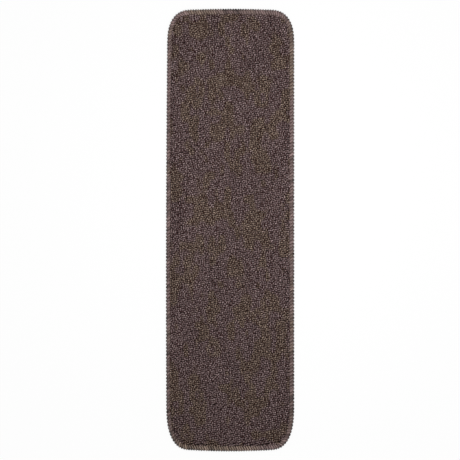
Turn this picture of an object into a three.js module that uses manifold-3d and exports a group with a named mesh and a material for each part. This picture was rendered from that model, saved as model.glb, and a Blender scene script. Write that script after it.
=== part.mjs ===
// A stair tread mat: a strip of tufted carpet on an anti-slip rubber sheet, with yarn sewn over its edge.
// Lengths are millimetres. The origin is the middle of the underside, +Y runs along the mat, +Z is up.
import * as THREE from "three";
import { mergeVertices } from "three/addons/utils/BufferGeometryUtils.js";
import Module from "manifold-3d";

// Overall size
const matLength = 787;
const matWidth = 227;

// The ends and the left-hand side bow out a little: this is how far each stands past where it would meet
// the mat's corner, and the left-hand side is widest below the mat's middle
const topBow = 3.4;
const bottomBow = 5.3;
const leftBow = 1.6;
const leftWidestAt = -105;

// The corners are eased curves, longer along the mat than across it, and a higher power is squarer
const topCornerAcross = 42;
const topCornerAlong = 59;
const bottomCornerAcross = 40.5;
const bottomCornerAlong = 77;
const cornerPower = 2.6;

// Layers
const backingThickness = 2;
const carpetThickness = 6;

// The edge of the carpet and the backing, squeezed thin inside the yarn: what is left of each layer at the
// very edge, and how much of the carpet is left where the pile comes up beside the yarn
const backingAtEdge = 0.5;
const carpetAtEdge = 0.6;
const carpetBesidePile = 2.1;

// The yarn band over that edge: how far it reaches inward on the sides, on the ends and underneath, and
// how thick it lies over the edge, beside it, under it and at its inner lip
const bandOnSides = 7.5;
const bandOnEnds = 9.5;
const bandBeneath = 6;
const yarnOverEdge = 1.2;
const yarnBesideEdge = 1.3;
const yarnUnderEdge = 0.8;
const yarnAtLip = 0.5;

// The band's round section: where its crown, its widest line and its foot lie
const crownInset = 3.2;
const widestAboveBacking = 1.2;
const footInset = 1.2;

// Each stitch is one ridge of the band, and its outer end lies ahead of its inner end
const stitchPitchOnSides = 6;
const stitchPitchOnEnds = 4.45;
const stitchSlant = 5;
const dipBetweenStitches = 0.8;
const dipAtLip = 0.25;

// The pile stands in rows along the mat, with a groove between rows, and its top edge is rounded off
const rowPitch = 2.54;
const rowGrooveDepth = 1.2;
const rowGrooveWidth = 1;
const shoulderAcross = 1.8;
const shoulderDown = 2;

// What is left open between the yarn and what it wraps
const clearance = 0.3;

// Facets of the carpet and the backing, and steps in which lengths along the outline are counted
const facetsPerCorner = 10;
const facetsPerStretch = 4;
const facetsPerShoulder = 2;
const outlineSteps = 4000;

// What follows from those sizes
const halfLength = matLength / 2;
const halfWidth = matWidth / 2;
const pileTop = backingThickness + carpetThickness;
const edgeInset = yarnBesideEdge + clearance;
const besidePileHeight = backingThickness + carpetBesidePile;

// The outline's pieces, counter-clockwise from the foot of the right-hand side:
// right side, corner, top end, corner, left side, corner, bottom end, corner
const outlinePieces = 8;

// A quarter turn of an eased corner, as shares of its two reaches: one falls from 1 while the other rises
function cornerShares(turn) {
  const angle = (turn * Math.PI) / 2;
  return [Math.cos(angle) ** (2 / cornerPower), Math.sin(angle) ** (2 / cornerPower)];
}

class MatOutline extends THREE.Curve {
  getPoint(t, target = new THREE.Vector3()) {
    const round = THREE.MathUtils.euclideanModulo(t, 1) * outlinePieces;
    const piece = Math.floor(round);
    const along = round - piece;
    const [falling, rising] = cornerShares(along);
    const topX = halfWidth - topCornerAcross;
    const topY = halfLength - topCornerAlong;
    const bottomX = halfWidth - bottomCornerAcross;
    const bottomY = halfLength - bottomCornerAlong;
    const straight = (from, to) => from + (to - from) * along;
    const [x, y] = [
      () => [halfWidth, straight(-bottomY, topY)],
      () => [topX + topCornerAcross * falling, topY + topCornerAlong * rising],
      () => [straight(topX, -topX), halfLength],
      () => [-topX - topCornerAcross * rising, topY + topCornerAlong * falling],
      () => [-halfWidth, straight(topY, -bottomY)],
      () => [-bottomX - bottomCornerAcross * falling, -bottomY - bottomCornerAlong * rising],
      () => [straight(-bottomX, bottomX), -halfLength],
      () => [bottomX + bottomCornerAcross * rising, -bottomY - bottomCornerAlong * falling],
    ][piece]();
    const sideBow = x > 0 ? 0 : leftBow;
    const endBow = y > 0 ? topBow : bottomBow;
    const narrowing = 1 - (sideBow / halfWidth) * ((y - leftWidestAt) / halfLength) ** 2;
    const shortening = 1 - (endBow / halfLength) * (x / halfWidth) ** 2;
    return target.set(x * narrowing, y * shortening, 0);
  }
}

const outline = new MatOutline();
outline.arcLengthDivisions = outlineSteps;
const perimeter = outline.getLength();

// A place on the outline and the direction straight inward from it. Facing is 0 on a side and 1 on an end.
function edgeAt(t) {
  const point = outline.getPoint(t);
  const ahead = outline.getTangent(t);
  return { point, inward: new THREE.Vector3(-ahead.y, ahead.x, 0), facing: ahead.x ** 2 };
}

// The same for a share of the way round by length
function edgeAtShare(share) {
  return edgeAt(outline.getUtoTmapping(THREE.MathUtils.euclideanModulo(share, 1)));
}

function bandReach(facing) {
  return THREE.MathUtils.lerp(bandOnSides, bandOnEnds, facing);
}

// The shares of the way round at which stitches start, closer together on the ends than on the sides
function stitchStarts() {
  const counts = [0];
  for (let step = 0; step < outlineSteps; step += 1) {
    const { facing } = edgeAtShare((step + 0.5) / outlineSteps);
    const pitch = THREE.MathUtils.lerp(stitchPitchOnSides, stitchPitchOnEnds, facing);
    counts.push(counts[step] + perimeter / outlineSteps / pitch);
  }
  const stitches = Math.round(counts[outlineSteps]);
  const starts = [];
  let step = 0;
  for (let stitch = 0; stitch < stitches; stitch += 1) {
    const wanted = (stitch * counts[outlineSteps]) / stitches;
    while (counts[step + 1] < wanted) step += 1;
    const part = (wanted - counts[step]) / (counts[step + 1] - counts[step]);
    starts.push((step + part) / outlineSteps);
  }
  return starts;
}

// The lines that run along the band, in order round its section: from the inner lip on top, over the outer
// side and back beneath the edge. A ridged line has a crown (dip 0) and a dip (dip 1) in every stitch, and a
// plain line has one point. Each gives its inset from the outline, its height and its lead along the edge.
function bandLines() {
  const slotTop = besidePileHeight + clearance;
  const slotAboveEdge = backingThickness + carpetAtEdge + clearance;
  const slotBelowEdge = backingThickness - backingAtEdge - clearance;
  const ridged = (spot) => ({ ridged: true, spot });
  const plain = (spot) => ({ ridged: false, spot });
  return [
    ridged((reach, dip) => [reach, slotTop + yarnAtLip - dip * dipAtLip, -stitchSlant]),
    ridged((reach, dip) => [
      crownInset,
      slotTop + yarnOverEdge - dip * dipBetweenStitches,
      (-stitchSlant * crownInset) / reach,
    ]),
    ridged((reach, dip) => [dip * dipBetweenStitches, backingThickness + widestAboveBacking, 0]),
    plain(() => [footInset, 0, 0]),
    plain(() => [bandBeneath, 0, 0]),
    plain(() => [bandBeneath, yarnUnderEdge, 0]),
    plain(() => [yarnBesideEdge, slotBelowEdge, 0]),
    plain(() => [yarnBesideEdge, slotAboveEdge, 0]),
    plain((reach) => [reach, slotTop, -stitchSlant]),
  ];
}

// One point of a band line, for a stitch that starts at a share of the way round
function bandPoint(line, share, dip) {
  const [, , lead] = line.spot(bandReach(edgeAtShare(share).facing), dip);
  const { point, inward, facing } = edgeAtShare(share + lead / perimeter);
  const [inset, z] = line.spot(bandReach(facing), dip);
  return point.clone().addScaledVector(inward, inset).setZ(z).toArray();
}

// The band of yarn: neighbouring lines are joined by triangles, stitch after stitch, into one closed skin
function edgeOverlockGeometry() {
  const starts = stitchStarts();
  const positions = [];
  const triangles = [];
  const addPoint = (point) => positions.push(...point) / 3 - 1;
  const lines = bandLines().map((line) => {
    const stitches = starts.map((start, stitch) => {
      const next = starts[stitch + 1] ?? 1;
      const crown = addPoint(bandPoint(line, start, 0));
      const dip = line.ridged ? addPoint(bandPoint(line, (start + next) / 2, 1)) : null;
      return [crown, dip];
    });
    return { ridged: line.ridged, stitches };
  });
  lines.forEach((line, index) => {
    const other = lines[(index + 1) % lines.length];
    line.stitches.forEach(([a, aDip], stitch) => {
      const following = (stitch + 1) % starts.length;
      const [aNext] = line.stitches[following];
      const [b, bDip] = other.stitches[stitch];
      const [bNext] = other.stitches[following];
      if (line.ridged && other.ridged) {
        triangles.push(a, b, aDip, aDip, b, bDip, aDip, bDip, aNext, aNext, bDip, bNext);
      } else if (line.ridged) {
        triangles.push(a, b, aDip, aDip, b, bNext, aDip, bNext, aNext);
      } else if (other.ridged) {
        triangles.push(a, b, bDip, a, bDip, aNext, aNext, bDip, bNext);
      } else {
        triangles.push(a, b, aNext, aNext, b, bNext);
      }
    });
  });
  return closedGeometry(positions, triangles);
}

function closedGeometry(positions, triangles) {
  const geometry = new THREE.BufferGeometry();
  geometry.setAttribute("position", new THREE.Float32BufferAttribute(positions, 3));
  geometry.setIndex(triangles);
  geometry.computeVertexNormals();
  return geometry;
}

// The places round the outline at which the carpet and the backing have a facet's edge
function facetPlaces() {
  const places = [];
  for (let piece = 0; piece < outlinePieces; piece += 1) {
    const facets = piece % 2 === 1 ? facetsPerCorner : facetsPerStretch;
    for (let facet = 0; facet < facets; facet += 1) {
      places.push((piece + facet / facets) / outlinePieces);
    }
  }
  return places;
}

// A solid built from loops, bottom to top, each with a height and an inset that may depend on facing
function loftedSlab(loops) {
  const places = facetPlaces();
  const count = places.length;
  const positions = [];
  loops.forEach(({ inset, z }) => {
    places.forEach((place) => {
      const { point, inward, facing } = edgeAt(place);
      positions.push(...point.clone().addScaledVector(inward, inset(facing)).setZ(z).toArray());
    });
  });
  const triangles = [];
  for (let loop = 0; loop + 1 < loops.length; loop += 1) {
    for (let k = 0; k < count; k += 1) {
      const a = loop * count + k;
      const b = loop * count + ((k + 1) % count);
      triangles.push(a, b, a + count, b, b + count, a + count);
    }
  }
  const cap = (first) => {
    const flat = places.map((_, k) => {
      const at = 3 * (first + k);
      return new THREE.Vector2(positions[at], positions[at + 1]);
    });
    return THREE.ShapeUtils.triangulateShape(flat, []).map((corners) => corners.map((k) => first + k));
  };
  cap(0).forEach(([a, b, c]) => triangles.push(a, c, b));
  cap((loops.length - 1) * count).forEach(([a, b, c]) => triangles.push(a, b, c));
  return closedGeometry(positions, triangles);
}

// The rubber sheet lies flat on the step, and its edge is thinner so that the yarn under it lies flush
function backingGeometry() {
  const fieldInset = () => bandBeneath + clearance;
  return loftedSlab([
    { inset: fieldInset, z: 0 },
    { inset: fieldInset, z: yarnUnderEdge + clearance },
    { inset: () => edgeInset, z: backingThickness - backingAtEdge },
    { inset: () => edgeInset, z: backingThickness },
  ]);
}

// The carpet before its rows are parted: the edge squeezed under the yarn, then the wall and top of the pile
function carpetBlankGeometry() {
  const wallInset = (facing) => bandReach(facing) + clearance;
  const loops = [
    { inset: () => edgeInset, z: backingThickness },
    { inset: () => edgeInset, z: backingThickness + carpetAtEdge },
    { inset: wallInset, z: besidePileHeight },
  ];
  for (let facet = 0; facet <= facetsPerShoulder; facet += 1) {
    const angle = (facet / facetsPerShoulder) * (Math.PI / 2);
    const across = shoulderAcross * (1 - Math.cos(angle));
    const down = shoulderDown * (1 - Math.sin(angle));
    loops.push({ inset: (facing) => wallInset(facing) + across, z: pileTop - down });
  }
  return loftedSlab(loops);
}

// A comb a little longer than the mat: its teeth are the rows of tufts, and its gaps the grooves between
function rowCombGeometry() {
  const past = 1;
  const rows = Math.floor(matWidth / rowPitch);
  const spread = (rowGrooveWidth / 2) * (1 + past / rowGrooveDepth);
  const side = (rows / 2 + 1) * rowPitch;
  const comb = new THREE.Shape();
  comb.moveTo(-side, backingThickness - past);
  comb.lineTo(side, backingThickness - past);
  for (let groove = rows; groove >= 0; groove -= 1) {
    const x = (groove - rows / 2) * rowPitch;
    comb.lineTo(x + spread, pileTop + past);
    comb.lineTo(x, pileTop - rowGrooveDepth);
    comb.lineTo(x - spread, pileTop + past);
  }
  const geometry = new THREE.ExtrudeGeometry(comb, { depth: matLength + 2 * past, bevelEnabled: false });
  geometry.rotateX(Math.PI / 2);
  geometry.translate(0, halfLength + past, 0);
  return geometry;
}

const wasm = await Module();
wasm.setup();

function solidFrom(geometry) {
  const bare = geometry.clone();
  bare.deleteAttribute("normal");
  bare.deleteAttribute("uv");
  const merged = mergeVertices(bare);
  return new wasm.Manifold(
    new wasm.Mesh({
      numProp: 3,
      vertProperties: new Float32Array(merged.attributes.position.array),
      triVerts: new Uint32Array(merged.index.array),
    }),
  );
}

function carpetGeometry() {
  const carpet = solidFrom(carpetBlankGeometry()).intersect(solidFrom(rowCombGeometry()));
  const { vertProperties, triVerts } = carpet.getMesh();
  return closedGeometry(Array.from(vertProperties), Array.from(triVerts));
}

function piece(name, geometry, color, roughness) {
  const material = new THREE.MeshStandardMaterial({ color, roughness, metalness: 0, flatShading: true });
  const mesh = new THREE.Mesh(geometry, material);
  mesh.name = name;
  return mesh;
}

const mat = new THREE.Group();
mat.add(piece("anti_slip_backing", backingGeometry(), 0x2b2a29, 0.85));
mat.add(piece("tufted_carpet", carpetGeometry(), 0x524441, 0.95));
mat.add(piece("edge_overlock", edgeOverlockGeometry(), 0x655650, 0.85));

export default mat;
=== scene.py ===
# %% [markdown]
# # A carpet stair tread, tuft by tuft
# The real thing is a strip of short tufted carpet on a sheet of rubber, with yarn sewn over its edge.
# From a step away its look comes from thousands of small tufts in several browns, and from the lighter,
# slanted stitches round the edge. A picture or a bump on a flat slab would look right from straight above
# only, so every tuft and every thread is modelled. Just the fibres inside them are left to the finish.

# %% Load the frame
import math

import bpy
import numpy as np
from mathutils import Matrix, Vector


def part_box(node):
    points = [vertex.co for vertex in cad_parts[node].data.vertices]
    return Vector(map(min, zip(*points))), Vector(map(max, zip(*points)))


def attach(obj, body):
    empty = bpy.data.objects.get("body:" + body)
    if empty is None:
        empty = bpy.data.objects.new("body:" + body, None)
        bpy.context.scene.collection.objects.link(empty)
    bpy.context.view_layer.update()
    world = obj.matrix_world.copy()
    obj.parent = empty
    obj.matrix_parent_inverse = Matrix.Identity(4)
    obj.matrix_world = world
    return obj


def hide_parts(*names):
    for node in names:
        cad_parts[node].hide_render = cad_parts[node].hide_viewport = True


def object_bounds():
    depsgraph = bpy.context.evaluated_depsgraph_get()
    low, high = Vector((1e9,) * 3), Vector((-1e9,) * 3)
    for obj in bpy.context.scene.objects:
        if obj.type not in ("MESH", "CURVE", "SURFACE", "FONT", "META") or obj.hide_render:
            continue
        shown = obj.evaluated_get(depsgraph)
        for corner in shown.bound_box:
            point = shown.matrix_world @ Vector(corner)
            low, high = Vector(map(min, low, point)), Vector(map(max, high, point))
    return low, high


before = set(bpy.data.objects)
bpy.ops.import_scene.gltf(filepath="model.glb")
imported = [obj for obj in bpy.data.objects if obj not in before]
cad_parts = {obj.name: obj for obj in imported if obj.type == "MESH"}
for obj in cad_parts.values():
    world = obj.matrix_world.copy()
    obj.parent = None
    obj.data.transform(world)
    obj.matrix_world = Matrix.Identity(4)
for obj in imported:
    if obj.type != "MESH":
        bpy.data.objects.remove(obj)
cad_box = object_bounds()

print("nodes:", sorted(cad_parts), "box in metres:", cad_box)

# %% [markdown]
# ## Sizes
# The solids give the mat's length, width and layers. The eased corners and the slight bow of the left-hand
# side and the ends have the same sizes as in the solids, so a formula gives the same outline here. The sums
# are in millimetres, as a carpet maker would do them, and turn to metres when a mesh is made.

# %% Sizes from the solids, in millimetres
METRE = 1000.0
mat_low, mat_high = (np.array(corner) * METRE for corner in cad_box)
carpet_low, carpet_high = (np.array(corner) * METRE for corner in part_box("tufted_carpet"))
half_width = (mat_high[0] - mat_low[0]) / 2
half_length = (mat_high[1] - mat_low[1]) / 2
backing_top = carpet_low[2]
pile_top = carpet_high[2]
print(f"the mat is {2 * half_width:.1f} x {2 * half_length:.1f} mm")
print(f"the rubber is {backing_top:.1f} mm thick and the pile reaches {pile_top:.1f} mm")

# %% Sizes of the outline and of the band of yarn
top_bow = 3.4
bottom_bow = 5.3
left_bow = 1.6
left_widest_at = -105
top_corner = (42, 59)
bottom_corner = (40.5, 77)
corner_power = 2.6
band_on_sides = 7.5
band_on_ends = 9.5
band_wider = 0.2
band_wider_on_right = 0.45
band_wider_on_top = 0.35
clearance = 0.3
edge_inset = half_width - carpet_high[0]
print(f"the carpet's squeezed edge lies {edge_inset:.2f} mm inside the outline")

# %% [markdown]
# ## The outline
# The mat has two long sides, two ends and four eased corners. The ends and the left-hand side bow out a
# little, as cut carpet does once its edge is sewn. One formula for an eased corner, used four times with
# the straight stretches between, gives the whole outline. It is then measured off in equal lengths, because
# stitches are spaced by length.

# %% The outline by formula
stretches = 8

def outline_points(turns):
    """Points at turns from 0 to 8, counter-clockwise from the foot of the right-hand side."""
    piece = np.floor(turns).astype(int) % stretches
    along = turns - np.floor(turns)
    falling = np.cos(along * math.pi / 2) ** (2 / corner_power)
    rising = np.sin(along * math.pi / 2) ** (2 / corner_power)
    top_x, top_y = half_width - top_corner[0], half_length - top_corner[1]
    low_x, low_y = half_width - bottom_corner[0], half_length - bottom_corner[1]
    side_up = -low_y + (top_y + low_y) * along
    x = np.choose(piece, [
        half_width, top_x + top_corner[0] * falling,
        top_x - 2 * top_x * along, -top_x - top_corner[0] * rising,
        -half_width, -low_x - bottom_corner[0] * falling,
        -low_x + 2 * low_x * along, low_x + bottom_corner[0] * rising,
    ])
    y = np.choose(piece, [
        side_up, top_y + top_corner[1] * rising,
        half_length, top_y + top_corner[1] * falling,
        top_y - (top_y + low_y) * along, -low_y - bottom_corner[1] * rising,
        -half_length, -low_y - bottom_corner[1] * falling,
    ])
    side_bow = np.where(x > 0, 0, left_bow)
    end_bow = np.where(y > 0, top_bow, bottom_bow)
    narrowing = 1 - side_bow / half_width * ((y - left_widest_at) / half_length) ** 2
    shortening = 1 - end_bow / half_length * (x / half_width) ** 2
    return np.stack([x * narrowing, y * shortening], axis=1)

# %% The outline measured off in equal lengths
points_a_stretch = 600
equal_lengths = 4000
rough = outline_points(np.linspace(0, stretches, stretches * points_a_stretch + 1)[:-1])
rough = np.vstack([rough, rough[:1]])
run = np.concatenate([[0], np.cumsum(np.linalg.norm(np.diff(rough, axis=0), axis=1))])
perimeter = run[-1]
edge_run = np.linspace(0, perimeter, equal_lengths + 1)
edge_xy = np.stack([np.interp(edge_run, run, rough[:, axis]) for axis in (0, 1)], axis=1)
edge_ahead = np.roll(edge_xy[:-1], -1, axis=0) - np.roll(edge_xy[:-1], 1, axis=0)
edge_ahead /= np.linalg.norm(edge_ahead, axis=1)[:, None]
edge_ahead = np.vstack([edge_ahead, edge_ahead[:1]])
print(f"once round is {perimeter:.0f} mm, to x {edge_xy[:, 0].max():.2f} and y {edge_xy[:, 1].max():.2f}")

# %% Places along the edge
def edge_at(lengths):
    """Point, direction ahead and direction inward at lengths along the outline."""
    wrapped = np.mod(lengths, perimeter)
    point = np.stack([np.interp(wrapped, edge_run, edge_xy[:, k]) for k in (0, 1)], axis=-1)
    ahead = np.stack([np.interp(wrapped, edge_run, edge_ahead[:, k]) for k in (0, 1)], axis=-1)
    ahead /= np.linalg.norm(ahead, axis=-1, keepdims=True)
    inward = np.stack([-ahead[..., 1], ahead[..., 0]], axis=-1)
    return point, ahead, inward

def band_reach(ahead):
    """How far the yarn reaches in. The direction ahead is up on the right and leftward at the top."""
    even = band_on_sides + (band_on_ends - band_on_sides) * ahead[..., 0] ** 2
    return even + band_wider + band_wider_on_right * ahead[..., 1] - band_wider_on_top * ahead[..., 0]

reaches = band_reach(edge_ahead)
print(f"the yarn reaches in {reaches.min():.2f} to {reaches.max():.2f} mm")

# %% [markdown]
# ## The camera
# The mat is seen from straight above with its length upright, and it almost fills the height of the square
# picture. A long lens from well above keeps its sides out of sight. The camera's height is worked out from
# how much of the picture the mat's length covers.

# %% The camera, straight above
picture_pixels = 460
mat_pixels_long = 441.8
mat_centre_pixel = (230.12, 230.12)
lens = 100.0
sensor = 36.0
metres_per_pixel = 2 * half_length / METRE / mat_pixels_long
view_height = picture_pixels * metres_per_pixel
widest_height = 0.0032
camera_data = bpy.data.cameras.new("camera")
camera_data.lens = lens
camera_data.sensor_width = sensor
camera_data.clip_end = 20.0
camera = bpy.data.objects.new("camera", camera_data)
camera.location = (
    (picture_pixels / 2 - mat_centre_pixel[0]) * metres_per_pixel,
    (mat_centre_pixel[1] - picture_pixels / 2) * metres_per_pixel,
    widest_height + view_height * lens / sensor,
)
bpy.context.collection.objects.link(camera)
bpy.context.scene.camera = camera
print(f"camera {camera.location.z:.3f} m up, the picture is {view_height:.3f} m high")

# %% [markdown]
# ## Shader maths as Python
# A finish is a small graph of nodes. Written as Python sums it reads like the idea behind it: a tone times
# a grain, one minus a height. One class wraps a node's output and turns each sum into a Math node, and one
# method makes any other node from its type, its settings and its sockets.

# %% Values that add up
class Value:
    """A node's output that takes part in Python sums."""

    def __init__(self, finish, socket):
        self.finish = finish
        self.socket = socket

    def sum_with(self, operation, first, second):
        return self.finish.node("ShaderNodeMath", {"operation": operation}, {0: first, 1: second})

    def __add__(self, other):
        return self.sum_with("ADD", self, other)

    def __radd__(self, other):
        return self.sum_with("ADD", other, self)

    def __sub__(self, other):
        return self.sum_with("SUBTRACT", self, other)

    def __rsub__(self, other):
        return self.sum_with("SUBTRACT", other, self)

    def __mul__(self, other):
        return self.sum_with("MULTIPLY", self, other)

    def __rmul__(self, other):
        return self.sum_with("MULTIPLY", other, self)

    def sine(self):
        return self.sum_with("SINE", self, 0.0)

# %% A finish and its nodes
def ink(red, green, blue):
    """A colour as it looks on screen, 0 to 255, turned into the shader's own numbers."""
    shares = [part / 255 for part in (red, green, blue)]
    linear = [s / 12.92 if s <= 0.04045 else ((s + 0.055) / 1.055) ** 2.4 for s in shares]
    return (*linear, 1.0)

class Finish:
    """A material built round one Principled shader."""

    def __init__(self, name, **sockets):
        self.material = bpy.data.materials.new(name)
        self.material.use_nodes = True
        self.tree = self.material.node_tree
        self.tree.nodes.clear()
        self.shader = self.tree.nodes.new("ShaderNodeBsdfPrincipled")
        output = self.tree.nodes.new("ShaderNodeOutputMaterial")
        self.tree.links.new(self.shader.outputs["BSDF"], output.inputs["Surface"])
        for socket, value in sockets.items():
            self.feed(socket.replace("_", " "), value)

    def join(self, value, socket):
        if isinstance(value, Value):
            self.tree.links.new(value.socket, socket)
        else:
            socket.default_value = value

    def node(self, kind, settings, sockets, output=0):
        made = self.tree.nodes.new(kind)
        for name, setting in settings.items():
            setattr(made, name, setting)
        for key, value in sockets.items():
            self.join(value, made.inputs[key])
        return Value(self, made.outputs[output])

    def feed(self, socket, value):
        self.join(value, self.shader.inputs[socket])

    def mix(self, factor, first, second):
        """Two colours mixed. They are sockets 6 and 7 of the Mix node, and its colour comes out third."""
        return self.node("ShaderNodeMix", {"data_type": "RGBA"}, {0: factor, 6: first, 7: second}, output=2)

    def attribute(self, name):
        return self.node("ShaderNodeAttribute", {"attribute_name": name}, {}, output=2)

    def place(self):
        """The point on the piece, in metres."""
        return self.node("ShaderNodeTexCoord", {}, {}, output=3)

    def noise(self, where, per_metre, detail, roughness=0.5):
        """Grain from 0 to 1, by its number of grains in a metre."""
        sockets = {"Vector": where, "Scale": per_metre, "Detail": detail, "Roughness": roughness}
        return self.node("ShaderNodeTexNoise", {}, sockets)

    def bump(self, height, depth):
        """Shades the surface as if it rose by the height times a depth in metres."""
        self.feed("Normal", self.node("ShaderNodeBump", {}, {"Height": height, "Distance": depth}))

# %% [markdown]
# ## Meshes from arrays
# A mat of this size has over seventeen thousand tufts. Adding them one at a time in Blender would take
# minutes, so their points are worked out together as arrays and handed to Blender in one go.

# %% A mesh piece from arrays
def add_piece(name, points, face_sets, finish, numbers=None, maps=None):
    """A piece from points in mm and from arrays of faces, each array with faces of one size."""
    mesh = bpy.data.meshes.new(name)
    corners = np.concatenate([faces.ravel() for faces in face_sets]).astype(np.int32)
    sizes = np.concatenate([np.full(len(faces), faces.shape[1]) for faces in face_sets])
    starts = np.concatenate([[0], np.cumsum(sizes)[:-1]]).astype(np.int32)
    mesh.vertices.add(len(points))
    mesh.vertices.foreach_set("co", (points / METRE).astype(np.float32).ravel())
    mesh.loops.add(len(corners))
    mesh.loops.foreach_set("vertex_index", corners)
    mesh.polygons.add(len(sizes))
    mesh.polygons.foreach_set("loop_start", starts)
    mesh.polygons.foreach_set("use_smooth", np.ones(len(sizes), bool))
    for map_name, places in (maps or {}).items():
        layer = mesh.uv_layers.new(name=map_name)
        layer.uv.foreach_set("vector", places.astype(np.float32).ravel())
    mesh.update(calc_edges=True)
    for number_name, values in (numbers or {}).items():
        layer = mesh.attributes.new(name=number_name, type="FLOAT", domain="POINT")
        layer.data.foreach_set("value", values.astype(np.float32).ravel())
    mesh.materials.append(finish.material)
    piece = bpy.data.objects.new(name, mesh)
    bpy.context.collection.objects.link(piece)
    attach(piece, "root")
    print(f"{name}: {int((sizes - 2).sum())} triangles")
    return piece

# %% [markdown]
# ## The light
# The picture is lit softly, and the pile darkens gently towards the bottom end. An even sky gives about
# half of the light. A wide soft light from the bottom end reaches the flanks of the leaning tufts, and a
# lamp above the mat's upper half adds the slow fall-off towards the bottom.

# %% The sky, white where it is seen and dimmer as a light
sky_level = 0.55
world = bpy.data.worlds.new("sky")
bpy.context.scene.world = world
world.use_nodes = True
sky = world.node_tree
sky.nodes.clear()
path = sky.nodes.new("ShaderNodeLightPath")
seen = sky.nodes.new("ShaderNodeMath")
seen.operation = "MAXIMUM"
sky.links.new(path.outputs["Is Camera Ray"], seen.inputs[0])
sky.links.new(path.outputs["Is Glossy Ray"], seen.inputs[1])
level = sky.nodes.new("ShaderNodeMapRange")
level.inputs["To Min"].default_value = sky_level
level.inputs["To Max"].default_value = 1.0
sky.links.new(seen.outputs[0], level.inputs["Value"])
background = sky.nodes.new("ShaderNodeBackground")
background.inputs["Color"].default_value = (1, 1, 1, 1)
sky.links.new(level.outputs["Result"], background.inputs["Strength"])
output = sky.nodes.new("ShaderNodeOutputWorld")
sky.links.new(background.outputs[0], output.inputs["Surface"])
bpy.context.scene.view_settings.view_transform = "Standard"
print("sky", sky_level)

# %% The lamp above the mat
lamp_level = 0.40
lamp_place = (0.09, 0.11, 0.62)
lamp_size = 0.34
lamp_data = bpy.data.lights.new("soft_lamp", "AREA")
lamp_data.shape = "SQUARE"
lamp_data.size = lamp_size
lamp_data.energy = lamp_level * math.pi**2 * lamp_place[2] ** 2
lamp = bpy.data.objects.new("soft_lamp", lamp_data)
lamp.location = lamp_place
lamp.visible_camera = False
bpy.context.collection.objects.link(lamp)
print(f"lamp {lamp_data.energy:.2f} W at {lamp_place}")

# %% The soft light from the bottom end
far_level = 0.18
far_elevation = math.radians(48)
far_azimuth = math.radians(30)
far_spread = math.radians(35)
far_data = bpy.data.lights.new("far_lamp", "SUN")
far_data.energy = far_level * math.pi / math.sin(far_elevation)
far_data.angle = far_spread
far_lamp = bpy.data.objects.new("far_lamp", far_data)
far_lamp.rotation_euler = (math.pi / 2 - far_elevation, 0, far_azimuth)
bpy.context.collection.objects.link(far_lamp)
print(f"far lamp {far_data.energy:.2f}")

# %% [markdown]
# ## The floor
# The mat lies on a plain white floor. To the camera the floor is nine tenths its own white and one tenth
# lit, so it stays white in the picture and still takes a trace of the mat's soft shadow. It lies a hair
# below the rubber, so that the two faces don't fall in one plane.

# %% The floor
floor_half = 6.0
floor_below = 0.0003
own_white = 0.9
floor_corners = [(x * floor_half, y * floor_half, 0) for x, y in ((-1, -1), (1, -1), (1, 1), (-1, 1))]
floor_mesh = bpy.data.meshes.new("floor")
floor_mesh.from_pydata(floor_corners, [], [(0, 1, 2, 3)])
floor = bpy.data.objects.new("floor", floor_mesh)
floor.location.z = -floor_below
bpy.context.collection.objects.link(floor)
floor_finish = Finish("white_floor", Base_Color=(1, 1, 1, 1), Roughness=0.9, Specular_IOR_Level=0.0)
camera_ray, glossy_ray, through_ray = (
    floor_finish.node("ShaderNodeLightPath", {}, {}, output=f"Is {kind} Ray")
    for kind in ("Camera", "Glossy", "Transmission")
)
own = floor_finish.node("ShaderNodeEmission", {}, {"Color": (1, 1, 1, 1), "Strength": 1.0})
lit = Value(floor_finish, floor_finish.shader.outputs["BSDF"])
share = own_white * (camera_ray + glossy_ray + through_ray)
both = floor_finish.node("ShaderNodeMixShader", {}, {0: share, 1: lit, 2: own})
floor_output = floor_finish.tree.nodes["Material Output"]
floor_finish.join(both, floor_output.inputs["Surface"])
floor_mesh.materials.append(floor_finish.material)
print("floor", 2 * floor_half, "m square")

# %% [markdown]
# ## The bed of the carpet
# Under the tufts lies the cloth that they are tufted through, with the feet of the tufts packed on it. It
# shows only as a dark ground between tufts, and its near-black colour is painted shade, for the shade deep
# in the pile. Its edge is squeezed thin where the yarn is sewn over it. Four loops of the outline, one
# above
# the other, make it: two for the thin edge, one at the head of the slope up to the pile, and one round the
# top.

# %% The bed's shape
def loop_at(inset_of, height, count):
    """The outline as a loop at one height, moved in by what inset_of gives for the direction."""
    point, ahead, inward = edge_at(np.linspace(0, perimeter, count, endpoint=False))
    spread = point + inward * np.broadcast_to(inset_of(ahead), count)[:, None]
    return np.column_stack([spread, np.full(count, height)])

def stacked_loops(loops, count):
    """A closed slab from loops of points, bottom to top, with flat ends."""
    here = np.arange(count)
    beyond = np.roll(here, -1)
    walls = [
        np.stack([here, beyond, beyond + count, here + count], axis=1) + k * count
        for k in range(len(loops) - 1)
    ]
    top = here + (len(loops) - 1) * count
    return np.vstack(loops), [np.vstack(walls), here[::-1][None], top[None]]

bed_count = 480
squeezed_edge = 0.6
slope_top = 2.1
bed_thick = 2.6
bed_rounding = 0.4

def beside_band(ahead):
    """A little further in than the yarn reaches."""
    return band_reach(ahead) + clearance

bed_points, bed_faces = stacked_loops([
    loop_at(lambda ahead: edge_inset, backing_top, bed_count),
    loop_at(lambda ahead: edge_inset, backing_top + squeezed_edge, bed_count),
    loop_at(beside_band, backing_top + slope_top, bed_count),
    loop_at(lambda ahead: beside_band(ahead) + bed_rounding, backing_top + bed_thick, bed_count),
], bed_count)
print(f"the bed reaches {bed_points[:, 2].max():.1f} mm")

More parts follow.
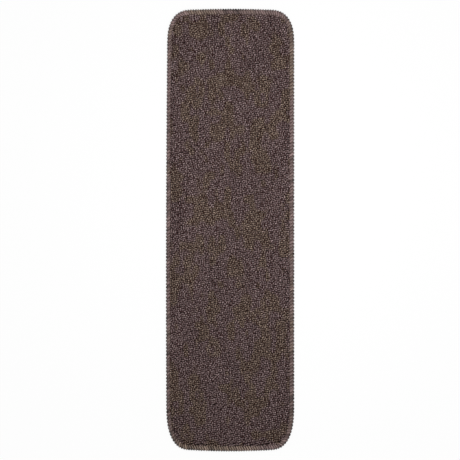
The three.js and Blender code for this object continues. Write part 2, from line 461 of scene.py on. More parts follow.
# %% The bed's finish and piece
def backing_cloth_painted_shade():
    """Cloth painted nearly black as painted shade deep between the tufts, with the feet of the tufts as
    grain.
    """
    finish = Finish("backing_cloth_painted_shade", Roughness=0.95, Specular_IOR_Level=0.1)
    feet = finish.noise(finish.place(), per_metre=700.0, detail=3.0)
    # Painted shade: these near-black colours stand for the shade deep in the pile between the tufts.
    finish.feed("Base Color", finish.mix(feet, ink(16, 12, 11), ink(40, 32, 30)))
    finish.bump(feet, depth=0.0006)
    return finish

bed = add_piece("carpet_bed", bed_points, bed_faces, backing_cloth_painted_shade())
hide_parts("tufted_carpet")
cloth_x, cloth_y = loop_at(lambda ahead: edge_inset, 0, bed_count)[:, :2].T

# %% [markdown]
# ## Where the tufts stand
# A tufting machine works in rows along the carpet, one needle to a row, and steps the cloth forward between
# stitches. The stitches of neighbouring rows don't lie quite square across. Each row is a little ahead of
# the last, so the lines across the mat climb to the right. The pitch along the rows and that climb are
# measured, and the pitch across is a usual one.

# %% The grid of tufts
rng = np.random.default_rng(31)
row_pitch = 2.54
stitch_pitch = 3.61
climb = math.tan(math.radians(10.5))
rows = int(half_width / row_pitch) + 1
steps_for_climb = 8
steps = int(half_length / stitch_pitch) + steps_for_climb
step, row = np.mgrid[-steps:steps + 1, -rows:rows + 1]
tuft_x = (row + 0.5) * row_pitch
tuft_y = step * stitch_pitch + row * row_pitch * climb
print(row.size, "places in", row.shape[1], "rows")

# %% [markdown]
# ## Soft random fields
# How rows wander, and how dark or olive the yarn is, changes slowly over a carpet. A coarse table of
# random numbers laid over the mat, eased from one entry to the next, gives such changes at any size.

# %% A table of numbers laid over the mat
table_margin = 4

def table_size(across, along):
    """Lines and columns of a table that covers the mat and a margin, for entries of a size in mm."""
    lines = int(2 * half_length / along) + 2 * table_margin
    columns = int(2 * half_width / across) + 2 * table_margin
    return lines, columns

def eased(share):
    """From 0 to 1 with a gentle start and end."""
    return share * share * (3 - 2 * share)

def read_table(table, x, y, across, along):
    """The table's numbers at places on the mat, eased from one entry to the next."""
    column = (x + half_width) / across + table_margin
    line = (y + half_length) / along + table_margin
    c = np.floor(column).astype(int).clip(0, table.shape[1] - 2)
    r = np.floor(line).astype(int).clip(0, table.shape[0] - 2)
    u = eased((column - c).clip(0, 1))
    v = eased((line - r).clip(0, 1))
    low = table[r, c] * (1 - u) + table[r, c + 1] * u
    high = table[r + 1, c] * (1 - u) + table[r + 1, c + 1] * u
    return low * (1 - v) + high * v

def soft_field(across, along):
    """Smooth random numbers at the tufts, about 0 with a spread of 1, in patches of a size in mm."""
    table = rng.normal(0, 1, table_size(across, along))
    field = read_table(table, tuft_x, tuft_y, across, along)
    return (field - field.mean()) / field.std()

# %% The rows wander a little
row_wander = 0.7
unsteady_across = 0.17
unsteady_along = 0.27
wander = row_wander * soft_field(across=35.0, along=50.0)
tuft_x = tuft_x + wander + rng.normal(0, unsteady_across, row.shape)
tuft_y = tuft_y + rng.normal(0, unsteady_along, row.shape)
print(f"rows wander by up to {abs(wander).max():.1f} mm")

# %% [markdown]
# ## Inside the band of yarn
# A tuft is kept where it clears the band. Measuring to every fourth point of the outline is close enough,
# and measuring in batches keeps the table of distances small.

# %% Which places clear the band of yarn
coarse_step = 4
batches = 24
tuft_from_band = 0.15

def nearest_edge(x, y):
    """Distance inside the outline, and the nearest outline point's index, for points on the mat."""
    coarse = edge_xy[:-1:coarse_step]
    distance = np.empty(x.size)
    index = np.empty(x.size, int)
    for part in np.array_split(np.arange(x.size), batches):
        apart = np.hypot(x[part, None] - coarse[:, 0], y[part, None] - coarse[:, 1])
        index[part] = apart.argmin(axis=1)
        distance[part] = apart.min(axis=1)
    index *= coarse_step
    inward = np.stack([-edge_ahead[index, 1], edge_ahead[index, 0]], axis=1)
    inside = (x - edge_xy[index, 0]) * inward[:, 0] + (y - edge_xy[index, 1]) * inward[:, 1] > 0
    return np.where(inside, distance, -distance), index

from_edge, nearest = nearest_edge(tuft_x.ravel(), tuft_y.ravel())
past_band = from_edge - band_reach(edge_ahead[nearest])
kept = past_band > tuft_from_band
print(kept.sum(), "tufts kept")

# %% [markdown]
# ## The yarn's tones
# The carpet is heathered. Its yarn is twisted from plies of several browns, from nearly black to fawn, so a
# single tuft shows more than one tone. The tone also changes slowly along the rows, and in patches a finger
# or two wide the brown leans to olive, elsewhere to mauve. The pile is a little darker at the bottom end.

# %% Slow changes of tone, and the olive share of every tuft
stripe_contrast = 0.008
cloud_contrast = 0.006
darker_at_bottom = 0.025
darker_from = -280
darkest_from = -360
large_patches = 0.8
small_patches = 0.6
patch_threshold = 0.3
patch_sharpness = 7
uneven_olive = 0.13

def eased_step(values, sharpness):
    """Near 0 well below zero and near 1 well above it."""
    return 1 / (1 + np.exp(-sharpness * values))

tone_of_tuft = stripe_contrast * soft_field(across=9.0, along=60.0)
tone_of_tuft += cloud_contrast * soft_field(across=30.0, along=45.0)
tone_of_tuft -= darker_at_bottom * ((darker_from - tuft_y) / (darker_from - darkest_from)).clip(0, 1)
patches = large_patches * soft_field(across=16.0, along=30.0)
patches += small_patches * soft_field(across=9.0, along=14.0)
olive_of_tuft = eased_step(patches - patch_threshold, patch_sharpness)
olive_of_tuft += rng.normal(0, uneven_olive, row.shape)
print(f"patches from {patches.min():.1f} to {patches.max():.1f}")

# %% Only the kept places go on
tuft_x, tuft_y, tone_of_tuft, olive_of_tuft = (
    values.ravel()[kept] for values in (tuft_x, tuft_y, tone_of_tuft, olive_of_tuft)
)
past_band = past_band[kept]
nearest = nearest[kept]
tuft_count = tuft_x.size
print(f"slow tone {tone_of_tuft.std():.3f}, olive {olive_of_tuft.mean():.2f}")

# %% [markdown]
# ## One tuft
# A tuft is the cut end of a twisted yarn of four plies. Its foot is narrow, its plies turn as they rise,
# and the cut ends open into four soft lobes round a small pit. Thirty-eight triangles are enough for that:
# a square foot, two rings of eight points, and the pit. Each ply gets its own height, spread and tone. The
# pile leans a little towards the top end of the mat, as carpet does from the way it was wound. Beside the
# band of yarn it leans outward instead.

# %% What differs from tuft to tuft
plies = 4
least_spread = 0.95
most_spread = 1.11
uneven_height = 0.30
lowest_ply = -0.7
highest_ply = 0.55
uneven_lean = 0.14
nap = np.array([0.0, 1.15])
outward_lean = 1.2
outward_within = 3.5
start = rng.uniform(0, 2 * math.pi, tuft_count)
ply_spread = rng.uniform(least_spread, most_spread, (tuft_count, plies))
ply_height = rng.normal(0, uneven_height, (tuft_count, plies)).clip(lowest_ply, highest_ply)
beside_edge = np.exp(-np.maximum(past_band - tuft_from_band, 0) / outward_within)[:, None]
outward = -np.stack([-edge_ahead[nearest, 1], edge_ahead[nearest, 0]], axis=1)
lean = rng.normal(0, uneven_lean, (tuft_count, 2))
lean += nap * (1 - beside_edge)
lean += outward_lean * outward * beside_edge
print(f"plies end from {ply_height.min():.2f} to {ply_height.max():.2f} mm above the mean")

# %% The rings of a tuft
room_across = 1.15
room_along = 1.02
cell = np.array([room_across * row_pitch / 2, room_along * stitch_pitch / 2])
ring_place = np.arange(2 * plies)
is_ply = ring_place % 2 == 0
ply_of = ring_place // 2

def between_plies(values):
    """Values at the eight points of a ring: each ply's own, and the mean between two plies."""
    own = values[:, ply_of]
    following = values[:, (ply_of + 1) % plies]
    return np.where(is_ply, own, (own + following) / 2)

def tuft_ring(radius, dip, turn, share, below, unevenness, notch):
    """A ring of eight points. It takes a share of the tuft's lean, and dips in between two plies."""
    angle = start[:, None] + turn + ring_place * math.pi / plies
    reach = radius * (1 + share * (between_plies(ply_spread) - 1)) * np.where(is_ply, 1, dip)
    x = tuft_x[:, None] + cell[0] * reach * np.cos(angle) + share * lean[:, :1]
    y = tuft_y[:, None] + cell[1] * reach * np.sin(angle) + share * lean[:, 1:]
    height = pile_top - below + unevenness * between_plies(ply_height) - np.where(is_ply, 0, notch)
    return np.stack([x, y, height], axis=2)

shoulder = tuft_ring(radius=1.02, dip=0.86, turn=0.5, share=0.6, below=1.55, unevenness=0.5, notch=0.25)
crown = tuft_ring(radius=0.80, dip=0.62, turn=0.95, share=1.0, below=0.5, unevenness=1.0, notch=0.5)
print(f"a tuft has room for {2 * cell[0]:.2f} x {2 * cell[1]:.2f} mm")

# %% All the tufts' points
foot_radius = 0.62
foot_sway = 0.3
foot_above_rubber = 2.2
pit_below = 0.85
foot_angle = start[:, None] + np.arange(plies) * 2 * math.pi / plies
foot = np.stack([
    tuft_x[:, None] - foot_sway * nap[0] + foot_radius * cell[0] * np.cos(foot_angle),
    tuft_y[:, None] - foot_sway * nap[1] + foot_radius * cell[1] * np.sin(foot_angle),
    np.full((tuft_count, plies), backing_top + foot_above_rubber),
], axis=2)
pit = np.stack([
    tuft_x + lean[:, 0],
    tuft_y + lean[:, 1],
    pile_top - pit_below + ply_height.mean(axis=1),
], axis=1)[:, None]
tuft_points = np.concatenate([foot, shoulder, crown, pit], axis=1)
print(f"tufts reach {tuft_points[..., 2].max():.2f} mm")

# %% [markdown]
# ## Light and dark plies
# Light plies hardly ever lie beside light ones for long, as the twist brings the next ply up within a few
# millimetres. Plain random numbers would leave blotches. So a grid of random numbers is filtered until only
# changes of one size are left, a light and a dark spot in just under four millimetres, and each ply takes
# the number at its own place.

# %% Speckles of one size
grain = 0.9
speckles_per_mm = 0.27
speckle_range = 0.05
tone_level = 0.29
tone_contrast = 0.82
darkest_tone = 0.02
lightest_tone = 1.15
grid_size = table_size(grain, grain)
along_mm = np.fft.fftfreq(grid_size[0], grain)[:, None]
across_mm = np.fft.rfftfreq(grid_size[1], grain)[None]
passes = np.exp(-((np.hypot(along_mm, across_mm) - speckles_per_mm) / speckle_range) ** 2 / 2)
speckle = np.fft.irfft2(np.fft.rfft2(rng.normal(0, 1, grid_size)) * passes, grid_size)
speckle /= speckle.std()
ply_x = crown[:, is_ply, 0]
ply_y = crown[:, is_ply, 1]
ply_tone = tone_level + tone_of_tuft[:, None]
ply_tone = ply_tone + tone_contrast * read_table(speckle, ply_x, ply_y, grain, grain)
ply_tone = ply_tone.clip(darkest_tone, lightest_tone) ** 2
print(f"a light and a dark spot every {1 / speckles_per_mm:.1f} mm")

# %% [markdown]
# ## Evening out
# Some spots still come out lighter or darker on the whole. So the mean tone of each small block of the mat
# is worked out, and what a block has too much or too little is taken from its plies.

# %% Even out what is left of the blotches
block = 3.9
fewest_plies = 5
brightest_ply = 1.3
block_lines, block_columns = table_size(block, block)
line_of_ply = ((ply_y + half_length) / block + table_margin).astype(int)
column_of_ply = ((ply_x + half_width) / block + table_margin).astype(int)
block_of_ply = (line_of_ply * block_columns + column_of_ply).ravel()
blocks = block_lines * block_columns
plies_held = np.bincount(block_of_ply, minlength=blocks)
tone_held = np.bincount(block_of_ply, (ply_tone - tone_of_tuft[:, None]).ravel(), minlength=blocks)
blotches = np.where(plies_held >= fewest_plies, tone_held / plies_held.clip(1) - ply_tone.mean(), 0)
blotches = blotches.reshape(block_lines, block_columns)
ply_tone -= read_table(blotches, ply_x - block / 2, ply_y - block / 2, block, block)
ply_tone = ply_tone.clip(0, brightest_ply)
print(f"light of the plies {np.percentile(ply_tone, [5, 50, 95]).round(2)}, blotches {blotches.std():.3f}")

# %% [markdown]
# ## From points to tufts
# All tufts have the same faces, so these are listed once, by the numbers of a tuft's own points. The points
# also keep the tone with painted shade on it: lightest at the cut ends, painted darker down the shoulder,
# in the pit and in the dips between plies, and nearly black at the foot, as the shade falls deeper in the
# pile.

# %% The tufts' faces
def tuft_faces():
    """Faces of one tuft: foot 0 to 3, shoulder 4 to 11, crown 12 to 19, pit 20."""
    ring_size = 2 * plies
    shoulder_at = plies
    pit_at = plies + 2 * ring_size
    faces = [(0, 3, 2), (0, 2, 1)]
    for k in range(plies):
        foot_ahead = (k + 1) % plies
        left = shoulder_at + 2 * k
        middle = left + 1
        right = shoulder_at + (2 * k + 2) % ring_size
        faces += [(k, middle, left), (k, foot_ahead, middle), (foot_ahead, right, middle)]
    for k in range(ring_size):
        a = shoulder_at + k
        b = shoulder_at + (k + 1) % ring_size
        c, d = a + ring_size, b + ring_size
        faces += [(a, b, d), (a, d, c), (c, d, pit_at)]
    return np.array(faces)

one_tuft = tuft_faces()
print(len(one_tuft), "triangles a tuft")

# %% The tufts' tones, with painted shade
# Painted shade: dips between plies, shoulder, pit and foot are darker than the plies' own tone.
painted_shade_between_plies = 0.12
painted_shade_foot_light = 0.04
painted_shade_shoulder_light = 0.38
painted_shade_pit_light = 0.49
ring_tone_and_painted_shade = (between_plies(np.sqrt(ply_tone)) - np.where(is_ply, 0, painted_shade_between_plies)).clip(0) ** 2
mean_tone = ply_tone.mean(axis=1, keepdims=True)
tuft_tone_and_painted_shade = np.concatenate([
    painted_shade_foot_light * np.repeat(mean_tone, plies, axis=1),
    painted_shade_shoulder_light * ring_tone_and_painted_shade,
    ring_tone_and_painted_shade,
    painted_shade_pit_light * mean_tone,
], axis=1)
print(f"mean tone {tuft_tone_and_painted_shade.mean():.3f}")

# %% The tufts' finish
def wool_finish():
    """Wool from dark to light by its tone, and from mauve to olive. Its fibres show as fine grain."""
    darkest_fibre = 0.6
    fibre_contrast = 0.8
    finish = Finish(
        "heather_wool", Roughness=0.9, Specular_IOR_Level=0.15, Sheen_Weight=0.12, Sheen_Roughness=0.5
    )
    fibres = finish.noise(finish.place(), per_metre=2200.0, detail=4.0, roughness=0.7)
    # The tone attribute holds the plies' own tone with the painted shade of dips, shoulders, pits and feet.
    tone = finish.attribute("tone") * (darkest_fibre + fibre_contrast * fibres)
    mauve = finish.mix(tone, ink(51, 16, 16), ink(202, 178, 178))
    olive = finish.mix(tone, ink(51, 21, 7), ink(201, 178, 160))
    finish.feed("Base Color", finish.mix(finish.attribute("olive"), mauve, olive))
    finish.bump(fibres, depth=0.0003)
    return finish

# %% A tuft's points on the sheet for baking
def spots_on_circle(radius, points):
    """Points evenly round a small circle."""
    angle = np.arange(points) * 2 * math.pi / points
    return radius * np.stack([np.cos(angle), np.sin(angle)], axis=1)

tuft_spots = np.concatenate([
    spots_on_circle(radius=0.46, points=plies),
    spots_on_circle(radius=0.34, points=2 * plies),
    spots_on_circle(radius=0.22, points=2 * plies),
    np.zeros((1, 2)),
])
points_a_tuft = len(tuft_spots)
print(points_a_tuft, "points a tuft")

# %% [markdown]
# ## The tufts as five strips
# All the tufts together have over six hundred thousand triangles, too many for one piece. So they are
# shared out by their place across the mat, into five strips with equally many tufts. On the sheet that a
# finish is baked to, each tuft has a small square of its own.

# %% The five strips
strips = ["far_left", "left", "middle", "right", "far_right"]
strip_of = np.argsort(np.argsort(tuft_x)) * len(strips) // tuft_count
wool = wool_finish()
for number, name in enumerate(strips):
    chosen = np.flatnonzero(strip_of == number)
    order = np.arange(chosen.size)
    squares_a_side = math.ceil(math.sqrt(chosen.size))
    squares = np.stack([order % squares_a_side, order // squares_a_side], axis=1) + 0.5
    spots = (squares[:, None] + tuft_spots) / squares_a_side
    faces = one_tuft + points_a_tuft * order[:, None, None]
    piece = add_piece(
        f"tufts_{name}", tuft_points[chosen].reshape(-1, 3), [faces.reshape(-1, 3)], wool,
        numbers={
            "tone": tuft_tone_and_painted_shade[chosen].ravel(),
            "olive": np.repeat(olive_of_tuft[chosen].clip(0, 1), points_a_tuft),
        },
        maps={"OFBake": spots.reshape(-1, 2)[faces.ravel()]},
    )
    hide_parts("tufted_carpet")

# %% [markdown]
# ## The overlocked edge
# Yarn is sewn over the edge by machine: out of the pile on top, over the side, and back underneath. Each
# stitch is a bundle of three threads that lie slanted on top, with their outer end ahead, and a dark notch
# shows between one stitch and the next. Stitches lie closer at the ends than along the sides, and a whole
# number of them goes round the mat.

# %% Where the stitches lie
stitch_on_sides = 6.0
stitch_on_ends = 4.45
edge_facing = edge_ahead[:, 0] ** 2
edge_pitch = stitch_on_sides + (stitch_on_ends - stitch_on_sides) * edge_facing
stitch_counter = np.concatenate([[0], np.cumsum(np.diff(edge_run) / edge_pitch[:-1])])
stitches = round(stitch_counter[-1])
stitch_at = np.interp(np.arange(stitches) * stitch_counter[-1] / stitches, stitch_counter, edge_run)
stitch_wide = np.interp(stitch_at, edge_run, edge_pitch)
print(f"{stitches} stitches, {stitch_wide.min():.2f} to {stitch_wide.max():.2f} mm wide")

# %% [markdown]
# ## The path of a thread
# A thread comes up out of the pile, runs outward over the top, turns down round the edge in half a circle
# and runs back underneath. Its slant ends halfway down that turn.

# %% The path of a thread round the edge
top_points = 4
turn_points = 6
low_points = 3
path_points = top_points + turn_points + low_points
half_thick = 0.5
band_top = 5.05
band_bottom = half_thick
inner_height = 4.45
inner_tuck = 0.5
inner_raised_share = 0.3
beyond_outline = 0.6
under_reach = 5.5

def thread_path(reach, raised):
    """Inset, height and slant share of a thread's middle line, from inside on top to inside underneath."""
    radius = (band_top - band_bottom) / 2
    middle = band_bottom + radius
    round_inset = radius - beyond_outline
    top = np.linspace(0, 1, top_points + 1)[:-1]
    turn = np.linspace(0, math.pi, turn_points)
    low = np.linspace(0, 1, low_points + 1)[1:]
    inset_top = reach * (1 - top) + round_inset * top
    inset_round = round_inset - (radius + raised) * np.sin(turn)
    inset_low = round_inset + (under_reach - round_inset) * low + 0 * reach
    height_top = inner_height + (band_top - inner_height) * np.sin(top * math.pi / 2)
    height_top = height_top - np.where(top == 0, inner_tuck, 0)
    height_top = height_top + raised * np.where(top == 0, inner_raised_share, 1)
    height_round = middle + (radius + raised) * np.cos(turn)
    height_low = band_bottom + 0 * inset_low
    upper_half = turn < math.pi / 2
    inset = np.concatenate([inset_top, inset_round, inset_low], axis=1)
    height = np.concatenate([height_top, height_round, height_low], axis=1)
    slant = np.concatenate([inset_top, inset_round * upper_half, 0 * inset_low], axis=1) / reach
    return inset, np.maximum(height, band_bottom), slant

print(path_points, "points on the path of a thread")

# %% Each thread's own path
threads_per_stitch = 3
gap_share = 0.29
gap_less = 0.36
uneven_gap = 0.10
thread_past_band = 0.2
uneven_reach = 0.28
middle_raised = 0.12
outer_raised = -0.30
uneven_raise = 0.06
stitch_slant = 5.0
uneven_lead = 0.12
thread = np.tile(np.arange(threads_per_stitch), stitches)
stitch = np.repeat(np.arange(stitches), threads_per_stitch)
threads = thread.size
is_middle = thread == 1
thread_gap = gap_share * stitch_wide[stitch] - gap_less
thread_at = stitch_at[stitch] + (thread - 1) * thread_gap + rng.normal(0, uneven_gap, threads)
reach = band_reach(edge_at(thread_at)[1]) + thread_past_band + rng.normal(0, uneven_reach, threads)
raised = np.where(is_middle, middle_raised, outer_raised) + rng.normal(0, uneven_raise, threads)
inset, height, slant = thread_path(reach[:, None], raised[:, None])
lead = -stitch_slant * slant + rng.normal(0, uneven_lead, (threads, 1))
path_base, path_ahead, path_inward = edge_at(thread_at[:, None] + lead)
middle_line = np.concatenate([path_base + path_inward * inset[..., None], height[..., None]], axis=2)
print(f"{threads} threads, {thread_gap.min():.2f} to {thread_gap.max():.2f} mm apart")

# %% [markdown]
# ## Threads as tubes
# A tube of six sides is swept along each path, square to it and wider than it is high, as pulled yarn lies
# flat. No point goes below the floor.

# %% The threads' points
thread_sides = 6
half_wide_share = 0.62
forward = np.gradient(middle_line, axis=1)
forward /= np.linalg.norm(forward, axis=2, keepdims=True)
aside = np.concatenate([path_ahead, np.zeros(path_ahead.shape[:2] + (1,))], axis=2)
aside -= forward * (aside * forward).sum(axis=2, keepdims=True)
aside /= np.linalg.norm(aside, axis=2, keepdims=True)
upward = np.cross(aside, forward)
round_it = (np.arange(thread_sides) * 2 * math.pi / thread_sides)[:, None]
half_wide = (half_wide_share * thread_gap)[:, None, None, None]
thread_points = (
    middle_line[:, :, None]
    + aside[:, :, None] * np.cos(round_it) * half_wide
    + upward[:, :, None] * np.sin(round_it) * half_thick
)
thread_points[..., 2] = np.maximum(thread_points[..., 2], 0.0)
print(f"threads reach {thread_points[..., 2].max():.2f} mm")

# %% The threads' faces
def thread_faces():
    """Quads of one tube, with the place of every corner on the thread: around, along."""
    quads = []
    spots = []
    for s in range(path_points - 1):
        for a in range(thread_sides):
            b = (a + 1) % thread_sides
            here = s * thread_sides
            beyond = here + thread_sides
            quads.append([here + a, here + b, beyond + b, beyond + a])
            spots += [(a, s), (a + 1, s), (a + 1, s + 1), (a, s + 1)]
    return np.array(quads), np.array(spots, float)

thread_quads, quad_spots = thread_faces()
first_end = np.arange(thread_sides)[::-1]
last_end = np.arange(thread_sides) + (path_points - 1) * thread_sides
points_a_thread = path_points * thread_sides
offset = points_a_thread * np.arange(threads)[:, None, None]
quads = (thread_quads + offset).reshape(-1, 4)
ends = (np.stack([first_end, last_end]) + offset).reshape(-1, thread_sides)
print(len(quads), "quads and", len(ends), "ends")

# %% The threads' maps
map_columns = 52
map_lines = math.ceil(threads / map_columns)
side_margin = 0.1
end_margin = 0.06

def on_the_sheet(spots):
    """Puts each thread's own small rectangle into its cell of one square sheet."""
    number = np.arange(threads)[:, None]
    across = side_margin + (1 - 2 * side_margin) * spots[:, 0] / thread_sides
    along = end_margin + (1 - 2 * end_margin) * spots[:, 1] / (path_points - 1)
    u = (number % map_columns + across) / map_columns
    v = (number // map_columns + along) / map_lines
    return np.stack([u, v], axis=2).reshape(-1, 2)

first_spots = [(a, 0) for a in first_end]
last_spots = [(a, path_points - 1) for a in range(thread_sides)]
end_spots = np.array(first_spots + last_spots, float)
bake_map = np.vstack([on_the_sheet(quad_spots), on_the_sheet(end_spots)])
thread_map = np.vstack([np.tile(quad_spots, (threads, 1)), np.tile(end_spots, (threads, 1))])
thread_map /= (thread_sides, path_points - 1)
print("a sheet of", map_columns, "by", map_lines, "threads")

# %% [markdown]
# ## The edge's shades, with painted light and shade
# Each stitch and each thread has its own shade. The middle thread of three, which lies highest, is painted
# a little lighter and the outer two darker, and at the bottom end all these shades spread wider, as painted
# light and shade on the stitches' relief. A thread is painted lighter on top and darker over the side and
# underneath, where shade falls, and at the bottom end its outer rim is painted darker still. The ends are
# painted lighter than the sides and the left side darker still; the sides are painted lighter towards the
# top, the left-hand one most of all, and the top end lighter towards the right: painted light and shade by
# how the light falls on each side. At the middle of the top end, where the sewing seems to start and stop,
# the yarn is dark over some forty millimetres. It leans to olive in patches, less so on the left.

# %% Where each thread is on the mat
edge_point, edge_direction = edge_at(thread_at)[:2]
thread_x, thread_y = edge_point.T
on_side = edge_direction[:, 1] ** 2
on_left = (edge_direction[:, 1] < 0) * on_side
on_top = (1 - on_side) * (thread_y > 0)
on_bottom = (1 - on_side) * (thread_y < 0)
up = thread_y / half_length
join_middle = 6
join_half = 19
join = np.exp(-((thread_x - join_middle) / join_half) ** 4) * on_top
print(f"{(join > 0.5).sum()} threads in the join")

# %% The threads' own shades, with painted light and shade on the middle and outer threads
uneven_stitch = 0.08
uneven_thread = 0.10
# Painted light and shade: the raised middle thread is painted lighter and the lower outer ones darker.
middle_painted_lighter = 0.06
outer_painted_lighter = -0.03
bottom_painted_contrast = 0.9
uneven_and_painted_light = rng.normal(0, uneven_stitch, stitches)[stitch] + rng.normal(0, uneven_thread, threads)
uneven_and_painted_light += np.where(is_middle, middle_painted_lighter, outer_painted_lighter)
# Painted contrast: at the bottom end the shades spread wider, for the stitches' light and shade.
uneven_and_painted_light *= 1 + bottom_painted_contrast * on_bottom
print(f"threads differ by {uneven_and_painted_light.std():.2f}")

# %% The shade by place, with painted light and shade by side
yarn_shade = 0.49
# Painted light and shade: sides darker than ends, left darker, sides lighter upward, top lighter rightward.
painted_shade_on_side = -0.085
painted_shade_on_left = -0.03
painted_light_on_top = 0.04
painted_light_on_bottom = 0.13
shade_at_join = -0.26
painted_lighter_up = 0.05
painted_lighter_up_on_left = 0.05
painted_lighter_right_on_top = 0.0004
shade_and_painted_light_by_place = yarn_shade + painted_shade_on_side * on_side + painted_shade_on_left * on_left
shade_and_painted_light_by_place += painted_light_on_top * on_top + painted_light_on_bottom * on_bottom + shade_at_join * join
shade_and_painted_light_by_place += (painted_lighter_up + painted_lighter_up_on_left * on_left) * up
shade_and_painted_light_by_place += painted_lighter_right_on_top * thread_x * on_top
print(f"shade by place {shade_and_painted_light_by_place.min():.2f} to {shade_and_painted_light_by_place.max():.2f}")

# %% Painted light and shade along each thread, and its olive share
painted_light_on_top_points = [-0.04, 0.07, 0.07, 0.03]
painted_shade_down_turn = [-0.10, -0.24]
painted_shade_below = -0.34
rim_darker_at_join = 0.25
rim_painted_shade_on_bottom = 0.20
edge_patch_count = 80
less_olive_on_left = 1.2
edge_sharpness = 3
uneven_edge_olive = 0.12
# Painted light and shade along the path: lighter on top, darker at the inner end, round the turn and under.
painted_shade_along = np.full(path_points, painted_shade_below)
painted_shade_along[:top_points] = painted_light_on_top_points
painted_shade_along[top_points:top_points + 2] = painted_shade_down_turn
past_top = np.arange(path_points) >= top_points
# The rim is dark at the join, and at the bottom end it is painted darker as painted shade.
rim_join_and_painted_shade = rim_darker_at_join * join + rim_painted_shade_on_bottom * on_bottom
shade = (uneven_and_painted_light + shade_and_painted_light_by_place)[:, None] + painted_shade_along - rim_join_and_painted_shade[:, None] * past_top
patch_places = np.linspace(0, perimeter, edge_patch_count)
edge_patches = np.interp(stitch_at[stitch], patch_places, rng.normal(0, 1, edge_patch_count))
edge_olive = eased_step(edge_patches - patch_threshold - less_olive_on_left * on_left, edge_sharpness)
edge_olive += rng.normal(0, uneven_edge_olive, threads)
print(f"edge shades {shade.min():.2f} to {shade.max():.2f}, olive {edge_olive.mean():.2f}")

# %% The threads' finish
def edge_yarn_finish():
    """Yarn from dark to light by its shade. Its twist shows as slanted bands, its fibres as fine grain."""
    bands_round = 2
    bands_along = 11
    fibre_contrast = 0.32
    twist_contrast = 0.20
    twist_height = 0.7
    fibre_height = 0.5
    finish = Finish(
        "edge_yarn", Roughness=0.85, Specular_IOR_Level=0.2, Sheen_Weight=0.3, Sheen_Roughness=0.5
    )
    spot = finish.node("ShaderNodeUVMap", {"uv_map": "thread"}, {})
    around_it = finish.node("ShaderNodeSeparateXYZ", {}, {0: spot}, output=0)
    along_it = finish.node("ShaderNodeSeparateXYZ", {}, {0: spot}, output=1)
    twist = (2 * math.pi * (bands_round * around_it + bands_along * along_it)).sine() * 0.5 + 0.5
    fibres = finish.noise(finish.place(), per_metre=1600.0, detail=2.0, roughness=0.6)
    # The shade attribute holds the threads' own shades with the painted light and shade by place and along
    # them.
    shade = finish.attribute("shade") + fibre_contrast * (fibres - 0.5) + twist_contrast * (twist - 0.5)
    mauve = finish.mix(shade, ink(36, 24, 22), ink(174, 147, 145))
    olive = finish.mix(shade, ink(36, 25, 18), ink(168, 146, 129))
    finish.feed("Base Color", finish.mix(finish.attribute("olive"), mauve, olive))
    finish.bump(twist_height * twist + fibre_height * fibres, depth=0.00025)
    return finish

# %% The threads' piece
overlock = add_piece(
    "edge_overlock_yarn", thread_points.reshape(-1, 3), [quads, ends], edge_yarn_finish(),
    numbers={
        "shade": np.repeat(shade.ravel(), thread_sides),
        "olive": np.repeat(edge_olive.clip(0, 1), points_a_thread),
    },
    maps={"thread": thread_map, "OFBake": bake_map},
)
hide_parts("edge_overlock")

# %% [markdown]
# ## The yarn between the stitches
# Between two stitches the yarn doesn't stop: turns that lie lower fill the dip, so neither the carpet's cut
# edge nor the floor shows through. One ring with the band's section, a little inside the threads, is those
# lower turns. It is the same yarn, painted darker as painted shade down in the dips, and painted darkest at
# the bottom end.

# %% The lower turns' shape
ring_past_band = 0.1
ring_section = [
    (None, 4.45), (3.3, 4.75), (1.5, 4.25), (0.40, 2.90), (1.1, 0.95), (2.7, 0.15), (5.5, 0.15),
    (5.5, 0.70), (1.45, 1.25), (1.45, 2.95), (None, 4.35),
]

def section_inset(inset):
    """A fixed inset, or the band's inner edge where none is given."""
    return (lambda ahead: band_reach(ahead) + ring_past_band) if inset is None else (lambda ahead: inset)

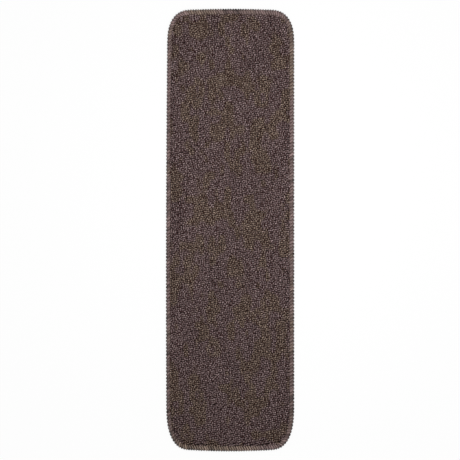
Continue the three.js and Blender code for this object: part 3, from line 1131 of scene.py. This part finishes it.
ring_loops = [loop_at(section_inset(inset), height, bed_count) for inset, height in ring_section]
here = np.arange(bed_count)
beyond = np.roll(here, -1)
ring_faces = []
for k in range(len(ring_loops)):
    this_loop = k * bed_count
    next_loop = (k + 1) % len(ring_loops) * bed_count
    ring_faces.append(np.stack([
        here + this_loop, here + next_loop, beyond + next_loop, beyond + this_loop,
    ], axis=1))
ring_points = np.vstack(ring_loops)
ring_facing = edge_at(np.linspace(0, perimeter, bed_count, endpoint=False))[1][:, 0] ** 2
# Painted shade: the ring's tone falls to nothing along the bottom end.
ring_painted_shade = 1 - np.tile(ring_facing, len(ring_loops)) * (ring_points[:, 1] < 0)
print(f"the ring is {ring_points[:, 2].max():.2f} mm high")

# %% The lower turns' finish and piece
def lower_turns_finish():
    """Yarn painted dark for the shade in the dips between stitches, with a fine grain."""
    finish = Finish("lower_turns", Roughness=0.95, Specular_IOR_Level=0.1)
    turns = finish.noise(finish.place(), per_metre=900.0, detail=3.0)
    tone = finish.attribute("shade") * turns
    finish.feed("Base Color", finish.mix(tone, ink(44, 32, 30), ink(108, 88, 83)))
    finish.bump(turns, depth=0.0005)
    return finish

lower_turns = add_piece(
    "edge_overlock_lower_turns", ring_points, [np.vstack(ring_faces)], lower_turns_finish(),
    numbers={"shade": ring_painted_shade},
)
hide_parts("edge_overlock")

# %% [markdown]
# ## The rubber underside
# The solid's sheet of rubber is right as it is, so it stays and only gets its finish: dark grey rubber with
# a fine pebbled skin that grips the step, a little dustier in places.

# %% The rubber's finish
def rubber_finish():
    """Dark rubber with pebbles some two millimetres wide."""
    clean_roughness = 0.72
    rougher_by_dust = 0.2
    finish = Finish("grip_rubber", Roughness=0.8, Specular_IOR_Level=0.35)
    place = finish.place()
    pebble_sockets = {"Vector": place, "Scale": 420.0}
    pebbles = finish.node("ShaderNodeTexVoronoi", {"feature": "SMOOTH_F1"}, pebble_sockets)
    dust = finish.noise(place, per_metre=18.0, detail=4.0)
    finish.feed("Base Color", finish.mix(dust, ink(38, 37, 36), ink(56, 54, 52)))
    finish.feed("Roughness", clean_roughness + rougher_by_dust * dust)
    finish.bump(1 - pebbles, depth=0.0008)
    return finish

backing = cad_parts["anti_slip_backing"]
backing.data.materials.clear()
backing.data.materials.append(rubber_finish().material)
print("rubber finished")
